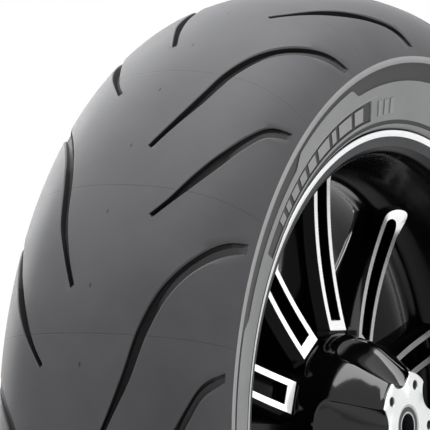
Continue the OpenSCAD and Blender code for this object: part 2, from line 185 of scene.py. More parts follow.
def startMaterial(name):
    material = bpy.data.materials.new(name)
    material.use_nodes = True
    tree = material.node_tree
    tree.nodes.clear()
    shader = addNode(tree, "ShaderNodeBsdfPrincipled")
    addNode(tree, "ShaderNodeOutputMaterial", {"Surface": shader.outputs[0]})
    return material, tree, shader.inputs


def linkSurface(tree, inputs, tone, gloss, bump):
    tree.links.new(tone, inputs["Base Color"])
    tree.links.new(gloss, inputs["Roughness"])
    tree.links.new(bump, inputs["Normal"])


def surfaceOf(tree, inputs, dark, light, spot, rough, grain, height):
    # spots of tone and gloss, and a fine grain: spot, grain and height in mm, rough as lowest and highest
    place = addNode(tree, "ShaderNodeTexCoord").outputs["Object"]
    spots = addNode(tree, "ShaderNodeTexNoise",
                    {"Vector": place, "Scale": 1 / (spot * mm), "Detail": 4.0}).outputs[0]
    grains = addNode(tree, "ShaderNodeTexNoise",
                     {"Vector": place, "Scale": 1 / (grain * mm), "Detail": 3.0}).outputs[0]
    share = addNode(tree, "ShaderNodeMapRange", {"Value": spots} | toneSpan).outputs[0]
    # a colour mix takes its share at socket 0 and its two colours at 6 and 7
    tone = addNode(tree, "ShaderNodeMix", {0: share, 6: srgb(dark), 7: srgb(light)},
                   data_type="RGBA").outputs[2]
    gloss = addNode(tree, "ShaderNodeMapRange",
                    {"Value": spots, "To Min": rough[0], "To Max": rough[1]} | glossSpan).outputs[0]
    bump = addNode(tree, "ShaderNodeBump",
                   {"Height": grains, "Distance": height * mm, "Strength": 1.0}).outputs[0]
    linkSurface(tree, inputs, tone, gloss, bump)
    return tone, bump


def rubber(name, dark, light, rough, grain=1.2, height=0.05, level=0.5):
    # carbon-filled rubber straight from a steel mould: dull charcoal with a soft sheen at grazing angles
    material, tree, inputs = startMaterial(name)
    surfaceOf(tree, inputs, dark, light, spot=38, rough=rough, grain=grain, height=height)
    inputs["IOR"].default_value = rubberIor
    inputs["Specular IOR Level"].default_value = level
    return material


# one unit of the surface map: degrees round the axle, which make half a pitch of the tread, and mm across
mapUnit = {"around": 20, "across": 100}
# marks in the tread, in those units: where one is, how often it comes, and half its size from full to faded
# strength is how dark the painted shade in the mark is, and depth is in mm
seamMark = {"at": 0.35, "every": 1.0, "around": (0.0022, 0.0042), "strength": 0.35, "depth": 0.2}
slitMark = {"at": 5.5425, "every": 0.5, "around": (0.012, 0.016), "across": (0.004, 0.008)}


def treadRubber():
    # the same rubber, with the fine seams that the mould's segments leave across the tread, and short slits in
    # its middle; both are painted dark, a painted shade for the seams' shallow dents and for the slits, which
    # have no depth of their own
    material, tree, inputs = startMaterial("mouldedTreadRubber")
    tone, bump = surfaceOf(tree, inputs, "#444446", "#4b4b4d", spot=45, rough=(0.5, 0.6), grain=1.1,
                           height=0.05)
    inputs["IOR"].default_value = rubberIor
    inputs["Specular IOR Level"].default_value = 0.15
    inputs["Sheen Weight"].default_value = 0.15
    inputs["Sheen Roughness"].default_value = 0.3
    flat = addNode(tree, "ShaderNodeUVMap", uv_map="surfaceMap").outputs[0]
    around, across, _ = addNode(tree, "ShaderNodeSeparateXYZ", {0: flat}).outputs
    marks = []
    for mark in (seamMark, slitMark):
        shifted = addNode(tree, "ShaderNodeMath", {0: around, 1: mark["at"]}, operation="SUBTRACT").outputs[0]
        away = addNode(tree, "ShaderNodeMath", {0: shifted, 1: mark["every"] / 2},
                       operation="PINGPONG").outputs[0]
        marks.append(addNode(tree, "ShaderNodeMapRange",
                             {"Value": away, "From Min": mark["around"][0], "From Max": mark["around"][1],
                              "To Min": mark.get("strength", 1.0), "To Max": 0.0}).outputs[0])
    seam, length = marks
    away = addNode(tree, "ShaderNodeMath", {0: across}, operation="ABSOLUTE").outputs[0]
    width = addNode(tree, "ShaderNodeMapRange",
                    {"Value": away, "From Min": slitMark["across"][0], "From Max": slitMark["across"][1],
                     "To Min": 1.0, "To Max": 0.0}).outputs[0]
    slit = addNode(tree, "ShaderNodeMath", {0: length, 1: width}, operation="MULTIPLY").outputs[0]
    # painted shade: the seams and slits are mixed towards a dark colour
    markShade = addNode(tree, "ShaderNodeMath", {0: seam, 1: slit}, operation="MAXIMUM").outputs[0]
    toneWithMarkShade = addNode(tree, "ShaderNodeMix", {0: markShade, 6: tone, 7: srgb("#1d1d1e")},
                     data_type="RGBA").outputs[2]
    dent = addNode(tree, "ShaderNodeBump",
                   {"Height": seam, "Distance": seamMark["depth"] * mm, "Normal": bump},
                   invert=True).outputs[0]
    tree.links.new(toneWithMarkShade, inputs["Base Color"])
    tree.links.new(dent, inputs["Normal"])
    return material


def paint(name, rough, level):
    # black powder coat on cast aluminium, with a faint orange peel
    material, tree, inputs = startMaterial(name)
    surfaceOf(tree, inputs, "#030304", "#060607", spot=30, rough=rough, grain=2.5, height=0.008)
    inputs["IOR"].default_value = paintIor
    inputs["Specular IOR Level"].default_value = level
    return material


def turnedMetal(name, dark, light, rough, pitch=0.9):
    # aluminium faced on a lathe: bright, with fine rings round the axle
    material, tree, inputs = startMaterial(name)
    place = addNode(tree, "ShaderNodeTexCoord").outputs["Object"]
    flat = addNode(tree, "ShaderNodeVectorMath", {0: place, 1: (1, 0, 1)}, operation="MULTIPLY").outputs[0]
    reach = addNode(tree, "ShaderNodeVectorMath", {0: flat}, operation="LENGTH").outputs["Value"]
    rings = addNode(tree, "ShaderNodeTexNoise", {"W": reach, "Scale": 1 / (pitch * mm), "Detail": 2.0},
                    noise_dimensions="1D").outputs[0]
    share = addNode(tree, "ShaderNodeMapRange", {"Value": rings} | toneSpan).outputs[0]
    tone = addNode(tree, "ShaderNodeMix", {0: share, 6: srgb(dark), 7: srgb(light)},
                   data_type="RGBA").outputs[2]
    gloss = addNode(tree, "ShaderNodeMapRange",
                    {"Value": rings, "To Min": rough[0], "To Max": rough[1]} | glossSpan).outputs[0]
    bump = addNode(tree, "ShaderNodeBump",
                   {"Height": rings, "Distance": 0.02 * mm, "Strength": 1.0}).outputs[0]
    linkSurface(tree, inputs, tone, gloss, bump)
    inputs["Metallic"].default_value = 1.0
    return material


def metal(name, dark, light, rough, grain, height):
    # ground, drawn or cast metal, with the grain that its making leaves
    material, tree, inputs = startMaterial(name)
    surfaceOf(tree, inputs, dark, light, spot=4, rough=rough, grain=grain, height=height)
    inputs["Metallic"].default_value = 1.0
    return material


def cord(name, dark, light, pitch, rough):
    # parallel cords under a skin of rubber: fine ribs that run round the wheel
    material, tree, inputs = startMaterial(name)
    place = addNode(tree, "ShaderNodeTexCoord").outputs["Object"]
    # the texture's wave turns by 20 radians in each unit, so this scale makes one wave of each pitch
    scale = 2 * math.pi / 20 / (pitch * mm)
    ribs = addNode(tree, "ShaderNodeTexWave",
                   {"Vector": place, "Scale": scale, "Distortion": 0.6, "Detail": 2.0},
                   bands_direction="Y").outputs[1]
    tone = addNode(tree, "ShaderNodeMix", {0: ribs, 6: srgb(dark), 7: srgb(light)},
                   data_type="RGBA").outputs[2]
    gloss = addNode(tree, "ShaderNodeMapRange",
                    {"Value": ribs, "To Min": rough[0], "To Max": rough[1]}).outputs[0]
    bump = addNode(tree, "ShaderNodeBump",
                   {"Height": ribs, "Distance": 0.3 * mm, "Strength": 0.8}).outputs[0]
    linkSurface(tree, inputs, tone, gloss, bump)
    return material


# name, dark and light tone, roughness, then the grain's size and height in mm
treadFinish = treadRubber()
# painted shade: the groove and shelf rubber are the tread rubber painted darker, for the deep slots, the sunk
# shelves and the hidden underside
grooveShadeFinish = rubber("grooveRubberPaintedShade", "#0c0c0c", "#131313", (0.65, 0.8), level=0.22)
shelfShadeFinish = rubber("shelfRubberPaintedShade", "#1d1d1d", "#232323", (0.6, 0.75), level=0.25)
# the sidewall is one black rubber in three painted tones: the panel lighter as painted light, the sunk band
# darker as painted shade, the ridge lightest as a painted highlight
litPanelFinish = rubber("satinSidewallRubberPaintedLight", "#7a7b7b", "#828383", (0.36, 0.46))
shadedBandFinish = rubber("raggedSidewallRubberPaintedShade", "#2c2c2c", "#333333", (0.62, 0.75), 0.8, 0.12)
highlitRidgeFinish = rubber("polishedRidgeRubberPaintedHighlight", "#868686", "#8e8e8e", (0.32, 0.42))
# glossy on the hub, glossy with weaker reflections on the spokes, and satin inside the rim
hubFinish = paint("deepGlossBlackPowderCoat", (0.07, 0.12), 0.42)
paintFinish = paint("glossBlackPowderCoat", (0.07, 0.12), 0.08)
barrelFinish = paint("satinBlackPowderCoat", (0.2, 0.28), 0.12)
bevelFinish = metal("satinGreyAluminium", "#3e4042", "#484a4c", (0.42, 0.52), 0.6, 0.012)
turnedFinish = turnedMetal("machinedAluminium", "#f2f3f4", "#fbfbfb", (0.28, 0.42))
# painted shade: the hub's faces and bore are the machined aluminium painted a little darker
shadedFaceFinish = turnedMetal("hubFaceAluminiumPaintedShade", "#d8d9d9", "#e2e3e3", (0.3, 0.44))
# the bolt holes' walls are the aluminium painted a darker blue-grey, a painted shade and painted reflection of
# the hole's inside
holeShadeFinish = metal("boltHoleAluminiumPaintedShade", "#8d9299", "#a3a8ae", (0.35, 0.5), 0.5, 0.02)

# what every CAD node that still shows is made of, by the record's slot
slotFinish = {
    "tread_rubber": grooveShadeFinish,
    "side_rubber": litPanelFinish,
    "liner_rubber": rubber("butylLinerRubber", "#232324", "#2b2b2d", (0.5, 0.65)),
    "bead_rubber": rubber("hardBeadRubber", "#2a2a2b", "#323233", (0.5, 0.62)),
    "ply_cord": cord("rayonPlyCord", "#4a3d30", "#7a6a55", 1.0, (0.6, 0.8)),
    "belt_cord": cord("aramidBeltCord", "#8f7a2c", "#c7ae52", 1.2, (0.5, 0.7)),
    "bead_wire": metal("bronzedBeadWire", "#8a6a48", "#a8845c", (0.3, 0.42), 0.9, 0.12),
    "black_cast_aluminium": paintFinish,
    "machined_aluminium": turnedFinish,
    "bearing_steel": metal("groundBearingSteel", "#a9abad", "#bcbec0", (0.16, 0.26), 0.4, 0.004),
    "cage_brass": metal("machinedBrass", "#a8873d", "#bd9b4c", (0.28, 0.4), 0.5, 0.01),
    "seal_rubber": rubber("nitrileSealRubber", "#161617", "#1d1d1e", (0.4, 0.5), 0.6, 0.02),
    "spacer_steel": metal("drawnSpacerSteel", "#7c7e80", "#8c8e90", (0.3, 0.42), 0.8, 0.01),
    "valve_rubber": rubber("mouldedValveRubber", "#1d1d1e", "#252526", (0.5, 0.6), 0.6, 0.03),
    "valve_brass": metal("nickelPlatedBrass", "#b4ab97", "#c6bda8", (0.22, 0.32), 0.4, 0.006),
    "cap_plastic": rubber("mouldedBlackNylon", "#151516", "#1c1c1d", (0.38, 0.5), 0.5, 0.02),
}
for subpart in frame["record"]["subparts"]:
    for slotOfNode in frame["nodes"][subpart["node"]].material_slots:
        slotOfNode.material = slotFinish[subpart["material_slot"]]
print("materials are made and given to the CAD nodes")


# shapes

def smoothPath(points, count):
    # points at even steps along a smooth curve through the given ones
    points = np.array(points, float)
    steps = np.r_[0, np.cumsum(np.hypot(*np.diff(points, axis=0).T))]
    slopes = np.gradient(points, steps, axis=0)
    at = np.linspace(0, steps[-1], count)
    i = np.clip(np.searchsorted(steps, at, side="right") - 1, 0, len(steps) - 2)
    span = (steps[i + 1] - steps[i])[:, None]
    t = (at - steps[i])[:, None] / span
    return ((1 + 2 * t) * (1 - t) ** 2 * points[i] + t * t * (3 - 2 * t) * points[i + 1]
            + t * (1 - t) ** 2 * span * slopes[i] + t * t * (t - 1) * span * slopes[i + 1])


def easeBetween(value, low, high):
    t = np.clip((value - low) / (high - low), 0, 1)
    return t * t * (3 - 2 * t)


def roundAxle(radius, y, angle):
    turn = np.radians(angle)
    return np.stack([radius * np.cos(turn), y + 0 * turn, radius * np.sin(turn)], -1)


def makePiece(name, points, faces, finish, flat=None):
    # points in mm; finish is a number for each face; flat is a point of the surface map for each point
    mesh = bpy.data.meshes.new(name)
    mesh.from_pydata((np.asarray(points) * mm).tolist(), [], faces)
    mesh.attributes.new("finish", "INT", "FACE").data.foreach_set("value", np.asarray(finish, np.int32))
    if flat is not None:
        corners = np.zeros(len(mesh.loops), np.int32)
        mesh.loops.foreach_get("vertex_index", corners)
        layer = mesh.uv_layers.new(name="surfaceMap")
        layer.data.foreach_set("uv", np.asarray(flat, np.float32)[corners].ravel())
    item = bpy.data.objects.new(name, mesh)
    bpy.context.collection.objects.link(item)
    return item


finishLabels = ("First Finish", "Second Finish", "Third Finish")


def aroundAxleTree():
    tree = bpy.data.node_groups.new("aroundAxle", "GeometryNodeTree")
    sockets = [("Geometry", "NodeSocketGeometry"), ("Repeats", "NodeSocketInt"),
               ("Merge Distance", "NodeSocketFloat")]
    for label, kind in sockets + [(label, "NodeSocketMaterial") for label in finishLabels]:
        tree.interface.new_socket(label, in_out="INPUT", socket_type=kind)
    tree.interface.new_socket("Geometry", in_out="OUTPUT", socket_type="NodeSocketGeometry")
    given = addNode(tree, "NodeGroupInput").outputs
    step = addNode(tree, "ShaderNodeMath", {0: 2 * math.pi, 1: given["Repeats"]},
                   operation="DIVIDE").outputs[0]
    index = addNode(tree, "GeometryNodeInputIndex").outputs[0]
    angle = addNode(tree, "ShaderNodeMath", {0: index, 1: step}, operation="MULTIPLY").outputs[0]
    turn = addNode(tree, "FunctionNodeAxisAngleToRotation", {"Axis": (0, 1, 0), "Angle": angle}).outputs[0]
    points = addNode(tree, "GeometryNodePoints", {"Count": given["Repeats"]}).outputs[0]
    copies = addNode(tree, "GeometryNodeInstanceOnPoints",
                     {"Points": points, "Instance": given["Geometry"], "Rotation": turn}).outputs[0]
    solid = addNode(tree, "GeometryNodeRealizeInstances", {"Geometry": copies}).outputs[0]
    solid = addNode(tree, "GeometryNodeMergeByDistance",
                    {"Geometry": solid, "Distance": given["Merge Distance"]}).outputs[0]
    kind = addNode(tree, "GeometryNodeInputNamedAttribute", {"Name": "finish"}, data_type="INT").outputs[0]
    for i, label in enumerate(finishLabels):
        chosen = addNode(tree, "ShaderNodeMath", {0: kind, 1: float(i), 2: 0.1},
                         operation="COMPARE").outputs[0]
        solid = addNode(tree, "GeometryNodeSetMaterial",
                        {"Geometry": solid, "Selection": chosen, "Material": given[label]}).outputs[0]
    addNode(tree, "NodeGroupOutput", {0: solid})
    return tree


aroundAxle = aroundAxleTree()


def repeatRound(item, repeats, finishes):
    change = item.modifiers.new("aroundAxle", "NODES")
    change.node_group = aroundAxle
    values = {"Repeats": repeats, "Merge Distance": mergeDistance} | dict(zip(finishLabels, finishes))
    for socket in aroundAxle.interface.items_tree:
        if socket.in_out == "INPUT" and socket.name in values:
            change[socket.identifier] = values[socket.name]
    graph = bpy.context.evaluated_depsgraph_get()
    mesh = bpy.data.meshes.new_from_object(item.evaluated_get(graph), depsgraph=graph)
    item.modifiers.remove(change)
    item.data = mesh


def finishPiece(item, body, nodes, sharp=30):
    work = bmesh.new()
    work.from_mesh(item.data)
    bmesh.ops.remove_doubles(work, verts=work.verts, dist=mergeDistance)
    bmesh.ops.dissolve_degenerate(work, dist=smallestFace, edges=work.edges)
    bmesh.ops.recalc_face_normals(work, faces=work.faces)
    if work.calc_volume(signed=True) < 0:
        bmesh.ops.reverse_faces(work, faces=work.faces)
    loose = sum(not edge.is_manifold for edge in work.edges)
    work.to_mesh(item.data)
    work.free()
    item.data.shade_smooth()
    item.data.set_sharp_from_angle(angle=math.radians(sharp))
    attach(item, body)
    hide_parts(*nodes)
    triangles = sum(len(face.vertices) - 2 for face in item.data.polygons)
    print(f"{item.name} is made: {triangles} triangles, {loose} open edges")


def gridFaces(rows, columns, closed=False, first=0):
    faces = []
    for i in range(rows - 1):
        for j in range(columns if closed else columns - 1):
            a, b = first + i * columns + j, first + i * columns + (j + 1) % columns
            faces.append((a, b, b + columns, a + columns))
    return faces


def insideLoop(points, loop):
    x, y = points[:, 0][:, None], points[:, 1][:, None]
    first, second = loop, np.roll(loop, -1, axis=0)
    straddles = (first[:, 1] > y) != (second[:, 1] > y)
    rise = np.where(second[:, 1] == first[:, 1], tiny, second[:, 1] - first[:, 1])
    cross = first[:, 0] + (y - first[:, 1]) * (second[:, 0] - first[:, 0]) / rise
    return (straddles & (x < cross)).sum(1) % 2 == 1


def distanceToLoop(points, loop):
    first, run = loop, np.roll(loop, -1, axis=0) - loop
    away = points[:, None] - first[None]
    t = np.clip((away * run).sum(-1) / np.maximum((run * run).sum(-1), tiny), 0, 1)
    return np.sqrt(((away - t[..., None] * run) ** 2).sum(-1)).min(1)


def fillBetween(outer, holes, inner):
    # triangles that fill the outer loop round the holes, through the inner points
    loops = [outer] + holes
    points = np.concatenate(loops + [inner]) if len(inner) else np.concatenate(loops)
    edges, start = [], 0
    for loop in loops:
        edges += [(start + i, start + (i + 1) % len(loop)) for i in range(len(loop))]
        start += len(loop)
    made = delaunay_2d_cdt([Vector(p) for p in points], edges, [], 0, 1e-5, True)
    origin = [ids[0] for ids in made[3]]
    faces = np.array([[origin[i] for i in face] for face in made[2]])
    middle = points[faces].mean(1)
    keep = insideLoop(middle, outer)
    for hole in holes:
        keep &= ~insideLoop(middle, hole)
    return faces[keep]


# tread cap: one pitch of the pattern on one side, the other side mirrored and shifted by half a pitch

# perDegree is how many mm one degree takes in the flat plan that the pattern is drawn in. The second half is
# about the grooves: stations run from the shoulder end at 0 to the tip at 1, and spans are shares of that way
tread = {"pitches": 9, "midRadius": 165.0, "midAngle": 17.6, "shoulderRadius": 69.0, "edge": 113.8,
         "thickness": 6.6, "shift": 20.0, "mesh": 5.0, "rowStep": 0.866, "perDegree": 5.5, "edgePoints": 27,
         "shoulderSpan": (101.6, 141.6), "shoulderPoints": 41, "middleSpan": (165, 125), "middlePoints": 37,
         "stations": 80, "tipSpread": 0.28, "spreadSpan": (0.3, 0.6), "sectionSpan": (0.3, 0.55),
         "shoulderDepth": 0.34, "depthSpan": (-0.03, 0.26), "barSpan": (0.74, 0.76), "barDepth": 0.88,
         "endDepth": 0.85, "slotColumns": 4, "rootStations": 4, "slotOnly": 0.42}
pitchEdge = [(141.6, -113.8), (141.6, -107), (143.4, -91), (146.1, -80), (148.9, -70), (153.4, -54),
             (158, -41), (161, -33), (163.5, -22), (165, 0)]
# both edges of each groove as (angle, distance from the middle of the tread), from the shoulder to the tip
longGroove = {
    "leading": [(110.95, -107), (112.1, -91.7), (115.7, -70.5), (120.1, -53.5), (126, -41.1),
                (131.9, -32.9), (137.4, -22), (140.8, -13.5)],
    "trailing": [(113.05, -107.4), (114.6, -93.5), (118, -72.9), (121.8, -58.8), (126, -48.8),
                 (133.2, -37), (137.4, -26.4), (141.2, -16.4)]}
shortGroove = {
    "leading": [(130.4, -106.4), (131.95, -91.4), (135.5, -78.7), (140.1, -66.8), (144.6, -54.1),
                (148.9, -40.9), (150.9, -32.3)],
    "trailing": [(132.2, -106.8), (134.7, -90.7), (138.05, -80.9), (142.4, -68.7), (146.6, -54.6),
                 (149.8, -41.4), (151.3, -34.8)]}
# groove section from the leading to the trailing edge, as (share of the width, depth)
shoulderSection = np.array([(0, 0), (.13, .9), (.18, 4.4), (.38, 4.8), (.42, 3.2), (.46, 2.6),
                            (.85, 2.6), (.90, .8), (1, 0)])
tipSection = np.array([(0, 0), (.08, .5), (.14, 5), (.3, 5.5), (.5, 5.6), (.7, 5.5), (.86, 5),
                       (.92, .5), (1, 0)])
# distances across the tread of the rows of its underside, after the two at the shoulder's edge
undersideRows = [-100, -85, -68, -50, -25, 0]


def crownPoint(s, depth, angle):
    away, middle = np.abs(s), math.radians(tread["midAngle"])
    length = tread["midRadius"] * middle
    flat = away <= length
    turn = np.where(flat, away / tread["midRadius"], middle + (away - length) / tread["shoulderRadius"])
    reach = np.where(flat, tread["midRadius"], tread["shoulderRadius"]) - depth
    gap = tread["midRadius"] - tread["shoulderRadius"]
    centre = crownRadius - tread["midRadius"] + np.where(flat, 0, gap * math.cos(middle))
    offset = np.where(flat, 0, gap * math.sin(middle))
    return roundAxle(centre + reach * np.cos(turn), np.sign(s) * (offset + reach * np.sin(turn)), angle)


def grooveGrid(groove):
    scale = (tread["perDegree"], 1)
    count = tread["stations"]
    leading = smoothPath(np.array(groove["leading"]) * scale, count)
    trailing = smoothPath(np.array(groove["trailing"]) * scale, count)
    along = np.linspace(0, 1, count)[:, None]
    wider = tread["tipSpread"] / 2 * easeBetween(along, *tread["spreadSpan"]) * (leading - trailing)
    leading, trailing = leading + wider, trailing - wider
    blend = easeBetween(along, *tread["sectionSpan"])
    shallow = tread["shoulderDepth"]
    shallow = shallow + (1 - shallow) * easeBetween(along, *tread["depthSpan"])
    share = shoulderSection[:, 0] * (1 - blend) + tipSection[:, 0] * blend
    depth = shoulderSection[:, 1] * (1 - blend) + tipSection[:, 1] * blend
    ends = np.ones((count, 1))
    ends[[0, -1]], ends[[1, -2]] = 0, tread["endDepth"]
    place = leading[:, None] * (1 - share[..., None]) + trailing[:, None] * share[..., None]
    depth = depth * ends * shallow
    barStart, barEnd = tread["barSpan"]
    wearBar = (along[:, 0] > barStart) & (along[:, 0] < barEnd)
    depth[wearBar, 4:7] *= tread["barDepth"]
    return place, depth


def treadPitch():
    perDegree, edge, thickness = tread["perDegree"], tread["edge"], tread["thickness"]
    pitchAngle = 360 / tread["pitches"]
    right = smoothPath(np.array(pitchEdge) * (perDegree, 1), tread["edgePoints"])
    left = right - (pitchAngle * perDegree, 0)
    shoulder = np.linspace(*tread["shoulderSpan"], tread["shoulderPoints"]) * perDegree
    middle = np.linspace(*tread["middleSpan"], tread["middlePoints"]) * perDegree
    low = np.stack([shoulder, np.full(len(shoulder), -edge)], -1)
    high = np.stack([middle, np.zeros(len(middle))], -1)
    outer = np.concatenate([low[:-1], right[:-1], high[:-1], left[:0:-1]])
    grids = [grooveGrid(longGroove), grooveGrid(shortGroove)]
    holes = [np.concatenate([g[:, 0], g[-1, 1:-1], g[::-1, -1], g[0, -2:0:-1]]) for g, _ in grids]
    # inner points in staggered rows, so that the triangles between them are nearly equal-sided
    step = tread["mesh"]
    x, y = np.meshgrid(np.arange(outer[:, 0].min(), outer[:, 0].max(), step),
                       np.arange(-edge, 0, step * tread["rowStep"]))
    x = x + np.where(np.arange(len(x)) % 2, step / 2, 0)[:, None]
    inner = np.stack([x.ravel(), y.ravel()], -1)
    clear = insideLoop(inner, outer) & (distanceToLoop(inner, outer) > step / 2)
    for hole in holes:
        clear &= ~insideLoop(inner, hole) & (distanceToLoop(inner, hole) > step / 2)
    inner = inner[clear]
    faces = fillBetween(outer, holes, inner).tolist()
    finish = [0] * len(faces)
    slotOnly = tread["slotOnly"] * tread["stations"]
    flat = [np.concatenate([outer] + holes + [inner])]
    depths = [np.zeros(len(flat[0]))]
    start = len(flat[0])
    for place, depth in grids:
        rows, columns = depth.shape
        faces += gridFaces(rows, columns, first=start)
        # the deep slot gets the darkest painted shade, and the shelf beside it and the slot's own shallow root
        # a lighter painted shade
        for i in range(rows - 1):
            for j in range(columns - 1):
                slot = i > slotOnly or (j < tread["slotColumns"] and i > tread["rootStations"])
                finish.append((1 if slot else 2) if 0 < j < columns - 2 else 0)
        flat.append(place.reshape(-1, 2))
        depths.append(depth.ravel())
        start += rows * columns
    rows = [-edge, -edge] + undersideRows
    below = np.array([[(x, s) for x in shoulder] for s in rows])
    faces += gridFaces(len(rows), len(shoulder), first=start)
    # the hidden underside takes the groove rubber's painted shade
    finish += [1] * ((len(rows) - 1) * (len(shoulder) - 1))
    flat.append(below.reshape(-1, 2))
    depths.append(np.repeat([0] + [thickness] * (len(rows) - 1), len(shoulder)))
    flat, depth = np.concatenate(flat), np.concatenate(depths)
    angle, s = flat[:, 0] / perDegree, flat[:, 1]
    near = crownPoint(s, depth, angle)
    near[:, 1] = -np.abs(near[:, 1])
    far = roundAxle(np.hypot(near[:, 0], near[:, 2]), -near[:, 1], angle + tread["shift"])
    points = np.concatenate([near, far])
    faces += [tuple(len(near) + i for i in reversed(face)) for face in faces]
    surface = np.stack([angle / mapUnit["around"], s / mapUnit["across"]], -1)
    return makePiece("treadCap", points, faces, finish * 2, np.concatenate([surface, surface * (1, -1)]))


treadCap = treadPitch()
repeatRound(treadCap, tread["pitches"], (treadFinish, grooveShadeFinish, shelfShadeFinish))
finishPiece(treadCap, wheelBody, ["tread_cap"])


# sidewalls: half a turn of one side, then repeated, then mirrored

# box, lined, leanStarts and leanEnds are angles, boxMiddle and leanSpan are radii, and wall is how many degrees
# the side of a step takes
side = {"box": (103.0, 148.0), "boxDepth": 1.0, "barHeight": 0.8, "lean": 0.36, "bandDepth": 0.9,
        "wide": 261.0, "narrow": 252.5, "step": 1.5, "nearest": 0.03, "wall": 0.06, "edgePoints": 9,
        "lined": (101.0, 151.0), "lineHeight": 0.25, "leanStarts": (93, 95), "leanEnds": (150, 156),
        "boxMiddle": 235.2, "barReach": 4.1, "leanSpan": (226.5, 243.9),
        "foot": (224.5, 79.9), "slope": 0.372, "bow": 0.00075}
# angles over which the panel's edge goes from narrow to wide, and from wide to narrow
panelGrows = [(108.5, 112.3), (160.8, 164.3), (210.0, 213.0)]
panelShrinks = [(130.8, 133.5), (186.0, 189.5), (240.0, 243.0)]
# slanted bars in the recessed box, as first and last angle
bars = [(106.0, 109.2), (110.4, 115.2), (116.4, 118.0), (119.2, 123.6), (124.8, 127.8), (129.0, 131.4),
        (132.6, 135.2), (136.4, 138.0), (139.2, 141.2)]
stripes = [(95.0, 96.2), (97.2, 98.4), (99.4, 100.6)]
# the rest of the section: over the shoulder ridge as (radius, height, finish), and from the panel's foot round
# the bead and back along the inner face as (radius, height)
ridgeSection = [(270.31, 93.87, 2), (269, 94.15, 2), (267.5, 94.25, 2), (266.3, 94.1, 2), (265.6, 93.8, 1),
                (265.0, 92.95, 1)]
beadSection = [(224.5, 79.9), (224.2, 79.5), (223.6, 78.9), (221.6, 78.3), (221.3, 78.7), (219, 76.4),
               (217.5, 73), (217.3, 70.2), (219, 69.8), (224, 73), (240, 78.5), (255, 83.5), (266, 87.3),
               (268.05, 87.67)]


def sideHeight(radius):
    out = radius - side["foot"][0]
    return side["foot"][1] + side["slope"] * out - side["bow"] * out ** 2


def panelEdge(angle):
    share = (sum(easeBetween(angle, *span) for span in panelGrows)
             - sum(easeBetween(angle, *span) for span in panelShrinks))
    return side["narrow"] + (side["wide"] - side["narrow"]) * share


def within(angle, spans, slack=0.01):
    return sum((angle > low - slack) & (angle < high + slack) for low, high in spans) > 0


def sidewallAngles():
    wall, (boxStart, boxEnd) = side["wall"], side["box"]
    angles = set(np.arange(90, 270.01, side["step"]).round(3))
    for low, high in panelGrows + panelShrinks:
        angles |= set(np.linspace(low, high, side["edgePoints"]).round(3))
    for low, high in bars + stripes:
        angles |= {round(low - wall, 3), low, high, round(high + wall, 3)}
    angles |= {boxStart, boxStart + wall, boxEnd - wall, boxEnd}
    angle = np.array(sorted(angles))
    return angle[np.r_[True, np.diff(angle) > side["nearest"]]]


def sidewall(name, sign):
    angle = sidewallAngles()
    wall, (boxStart, boxEnd), band = side["wall"], side["box"], -side["bandDepth"]
    edge = panelEdge(angle)
    inBox = within(angle, [(boxStart + wall, boxEnd - wall)])
    lined = within(angle, [side["lined"]])
    inBar, inStripe = within(angle, bars), within(angle, stripes)
    lean = (side["lean"] * easeBetween(angle, *side["leanStarts"])
            * (1 - easeBetween(angle, *side["leanEnds"])))
    # finish 0 is the panel with its painted light, 1 the painted shade of the sunk band, box floors and hidden
    # faces, 2 the painted highlight of the ridge, bars, stripes and raised line
    rows = [(r + 0 * edge, h + 0 * edge, np.full(len(edge), f)) for r, h, f in ridgeSection]

    def add(radius, rise, kind):
        radius = radius + 0 * edge
        rows.append((radius, sideHeight(radius) + rise, kind + 0 * edge))

    # the sunk band, the panel, and a fine raised line over the box
    add(263.6, band, 1)
    add((263.6 + edge) / 2 + 0.3, band, 1)
    add(edge + 0.6, band, 1)
    add(edge, -0.05, 0)
    add(edge - 0.8, 0, 0)
    add(edge / 2 + 123.2, 0, 0)
    add(246.2, 0, 0)
    add(245.5, side["lineHeight"] * lined, 2 * lined)
    add(244.7, side["lineHeight"] * lined, 0)
    add(244.0, 0, 0)
    # the box with its bars, and the stripes beside it
    add(243.5, 0, inBox)
    floor = -side["boxDepth"] * inBox
    raised = floor + side["barHeight"] * (inBar | inStripe)
    add(243.2, floor, inBox)
    add(241.3, floor, inBox)
    add(241.0, raised, np.where(inBar | inStripe, 2, inBox))
    add(side["boxMiddle"], raised, np.where(inBar | inStripe, 2, inBox))
    add(229.5, raised, inBox)
    add(229.2, floor, inBox)
    add(227.3, floor, inBox)
    add(227.0, 0, 0)
    add(225.4, 0, 0)
    # the fine groove at the foot, and all that the rim and the tread hide, have the dark finish, a painted
    # shade
    rows += [(r + 0 * edge, h + 0 * edge, np.full(len(edge), 1 if i in (1, 2, 3) or i > 5 else 0))
             for i, (r, h) in enumerate(beadSection)]
    radius, height, kind = (np.array(part) for part in zip(*rows))
    leanLow, leanHigh = side["leanSpan"]
    slide = lean * np.where((radius < leanHigh) & (radius > leanLow),
                            (radius - side["boxMiddle"]) / side["barReach"], 0)
    turned = angle + slide
    points = roundAxle(radius, sign * height, turned).reshape(-1, 3)
    count, columns = radius.shape
    last = (count - 1) * columns
    faces = gridFaces(count, columns) + [(last + j, last + j + 1, j + 1, j) for j in range(columns - 1)]
    # a face takes the finish of the row above it, where both its columns have it
    finish = np.minimum(kind[:-1, :-1], kind[:-1, 1:]).astype(int).ravel().tolist() + [1] * (columns - 1)
    surface = np.stack([turned / mapUnit["around"], (radius - 200) / mapUnit["across"]], -1).reshape(-1, 2)
    item = makePiece(name, points, faces, finish, surface)
    repeatRound(item, 2, (litPanelFinish, shadedBandFinish, highlitRidgeFinish))
    return item


for sideName, sign in (("left", -1), ("right", 1)):
    finishPiece(sidewall("sidewall" + sideName.capitalize(), sign), wheelBody, ["sidewall_" + sideName])


